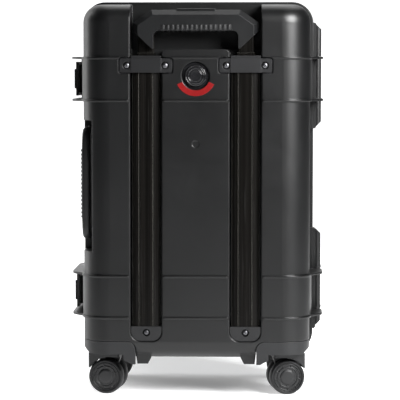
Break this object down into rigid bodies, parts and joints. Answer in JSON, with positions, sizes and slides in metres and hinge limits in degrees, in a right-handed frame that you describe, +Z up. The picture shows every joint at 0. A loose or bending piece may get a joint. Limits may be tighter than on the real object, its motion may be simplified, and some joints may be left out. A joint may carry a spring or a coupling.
{
  "type": "rolling flight case",
  "caption": "Hard-shell rolling flight case with hinged lid, ribbed halves, telescopic trolley, carry handle, pressure valve and twin-wheel swivel casters.",
  "frame": {"origin": "on the floor under the middle of the case", "axes": "+Z up, +Y from the trolley face to the lid face, +X to the hinge side"},
  "size_m": [0.36, 0.229, 0.56],
  "materials": {
    "shell": "fine moulded texture, satin",
    "housing": "fine moulded texture, satin",
    "fork": "satin glass-filled nylon",
    "wheel": "satin polyurethane",
    "gasket": "matt foam rubber",
    "lining": "plain woven lining",
    "hinge": "satin",
    "latch": "satin",
    "keeper": "satin",
    "pin": "ground",
    "handle": "satin overmould",
    "tube": "black anodised, glossy",
    "bracket": "satin",
    "grip": "satin",
    "grip_pad": "matt",
    "button": "satin",
    "screw": "polished domed heads",
    "valve": "gloss black",
    "label": "red, satin gloss"
  },
  "bodies": {
    "base": {"base_shell": "shell", "base_lining": "lining", "base_hinge_upper": "hinge", "base_hinge_lower": "hinge", "hinge_pins": "pin", "latch_keeper_upper": "keeper", "latch_keeper_lower": "keeper", "side_handle_pins": "pin", "outer_tube_left": "tube", "outer_tube_right": "tube", "tube_bracket_left": "bracket", "tube_bracket_right": "bracket", "tube_foot_left": "bracket", "tube_foot_right": "bracket", "bracket_screws": "screw", "foot_screws": "screw", "valve_body": "valve", "valve_nut": "valve", "valve_label": "label", "housing_back_left": "housing", "housing_back_right": "housing", "base_housing_screws": "screw"},
    "lid": {"lid_shell": "shell", "lid_gasket": "gasket", "lid_lining": "lining", "lid_hinge_upper": "hinge", "lid_hinge_lower": "hinge", "latch_pins": "pin", "housing_front_left": "housing", "housing_front_right": "housing", "lid_housing_screws": "screw"},
    "latch_upper": {"latch_upper": "latch"},
    "latch_lower": {"latch_lower": "latch"},
    "side_handle": {"side_handle": "handle"},
    "trolley_middle": {"middle_tube_left": "tube", "middle_tube_right": "tube"},
    "trolley_grip": {"inner_tube_left": "tube", "inner_tube_right": "tube", "trolley_grip": "grip", "grip_pad": "grip_pad"},
    "release": {"release_button": "button", "release_rod_left": "pin", "release_rod_right": "pin"},
    "valve_knob": {"valve_knob": "valve"},
    "caster_back_left": {"fork_back_left": "fork", "axle_back_left": "pin"},
    "wheel_back_left_a": {"wheel_back_left_a": "wheel"},
    "wheel_back_left_b": {"wheel_back_left_b": "wheel"},
    "caster_back_right": {"fork_back_right": "fork", "axle_back_right": "pin"},
    "wheel_back_right_a": {"wheel_back_right_a": "wheel"},
    "wheel_back_right_b": {"wheel_back_right_b": "wheel"},
    "caster_front_left": {"fork_front_left": "fork", "axle_front_left": "pin"},
    "wheel_front_left_a": {"wheel_front_left_a": "wheel"},
    "wheel_front_left_b": {"wheel_front_left_b": "wheel"},
    "caster_front_right": {"fork_front_right": "fork", "axle_front_right": "pin"},
    "wheel_front_right_a": {"wheel_front_right_a": "wheel"},
    "wheel_front_right_b": {"wheel_front_right_b": "wheel"}
  },
  "joints": [
    {"name": "lid_hinge", "type": "hinge", "parent": "base", "child": "lid", "pos_m": [0.1735, 0.0142, 0.3], "axis": [0, 0, -1], "range_deg": [0, 110]},
    {"name": "latch_upper_lever", "type": "hinge", "parent": "lid", "child": "latch_upper", "pos_m": [-0.1725, 0.036, 0.449], "axis": [0, 0, -1], "range_deg": [0, 100]},
    {"name": "latch_lower_lever", "type": "hinge", "parent": "lid", "child": "latch_lower", "pos_m": [-0.1725, 0.036, 0.1415], "axis": [0, 0, -1], "range_deg": [0, 100]},
    {"name": "side_handle_swing", "type": "hinge", "parent": "base", "child": "side_handle", "pos_m": [-0.155, -0.038, 0.301], "axis": [0, 0, -1], "range_deg": [0, 95]},
    {"name": "trolley_lower_slide", "type": "slide", "parent": "base", "child": "trolley_middle", "axis": [0, 0, 1], "range_m": [0, 0.24]},
    {"name": "trolley_upper_slide", "type": "slide", "parent": "trolley_middle", "child": "trolley_grip", "axis": [0, 0, 1], "range_m": [0, 0.24]},
    {"name": "release_press", "type": "slide", "parent": "trolley_grip", "child": "release", "axis": [0, 0, -1], "range_m": [0, 0.004], "stiffness_N_per_m": 600, "springref_m": -0.006},
    {"name": "valve_turn", "type": "hinge", "parent": "base", "child": "valve_knob", "pos_m": [0, -0.112, 0.454], "axis": [0, -1, 0], "range_deg": [0, 120]},
    {"name": "swivel_back_left", "type": "hinge", "parent": "base", "child": "caster_back_left", "pos_m": [-0.116, -0.07, 0.058], "axis": [0, 0, 1], "continuous": true},
    {"name": "spin_back_left_a", "type": "hinge", "parent": "caster_back_left", "child": "wheel_back_left_a", "pos_m": [-0.12689, -0.06847, 0.025], "axis": [-0.1392, -0.9903, 0], "continuous": true},
    {"name": "spin_back_left_b", "type": "hinge", "parent": "caster_back_left", "child": "wheel_back_left_b", "pos_m": [-0.12689, -0.06847, 0.025], "axis": [-0.1392, -0.9903, 0], "continuous": true},
    {"name": "swivel_back_right", "type": "hinge", "parent": "base", "child": "caster_back_right", "pos_m": [0.116, -0.07, 0.058], "axis": [0, 0, 1], "continuous": true},
    {"name": "spin_back_right_a", "type": "hinge", "parent": "caster_back_right", "child": "wheel_back_right_a", "pos_m": [0.12683, -0.06809, 0.025], "axis": [-0.1736, 0.9848, 0], "continuous": true},
    {"name": "spin_back_right_b", "type": "hinge", "parent": "caster_back_right", "child": "wheel_back_right_b", "pos_m": [0.12683, -0.06809, 0.025], "axis": [-0.1736, 0.9848, 0], "continuous": true},
    {"name": "swivel_front_left", "type": "hinge", "parent": "lid", "child": "caster_front_left", "pos_m": [-0.116, 0.07, 0.058], "axis": [0, 0, 1], "continuous": true},
    {"name": "spin_front_left_a", "type": "hinge", "parent": "caster_front_left", "child": "wheel_front_left_a", "pos_m": [-0.12694, 0.06885, 0.025], "axis": [0.1045, -0.9945, 0], "continuous": true},
    {"name": "spin_front_left_b", "type": "hinge", "parent": "caster_front_left", "child": "wheel_front_left_b", "pos_m": [-0.12694, 0.06885, 0.025], "axis": [0.1045, -0.9945, 0], "continuous": true},
    {"name": "swivel_front_right", "type": "hinge", "parent": "lid", "child": "caster_front_right", "pos_m": [0.116, 0.07, 0.058], "axis": [0, 0, 1], "continuous": true},
    {"name": "spin_front_right_a", "type": "hinge", "parent": "caster_front_right", "child": "wheel_front_right_a", "pos_m": [0.12686, 0.06828, 0.025], "axis": [0.1564, 0.9877, 0], "continuous": true},
    {"name": "spin_front_right_b", "type": "hinge", "parent": "caster_front_right", "child": "wheel_front_right_b", "pos_m": [0.12686, 0.06828, 0.025], "axis": [0.1564, 0.9877, 0], "continuous": true}
  ]
}
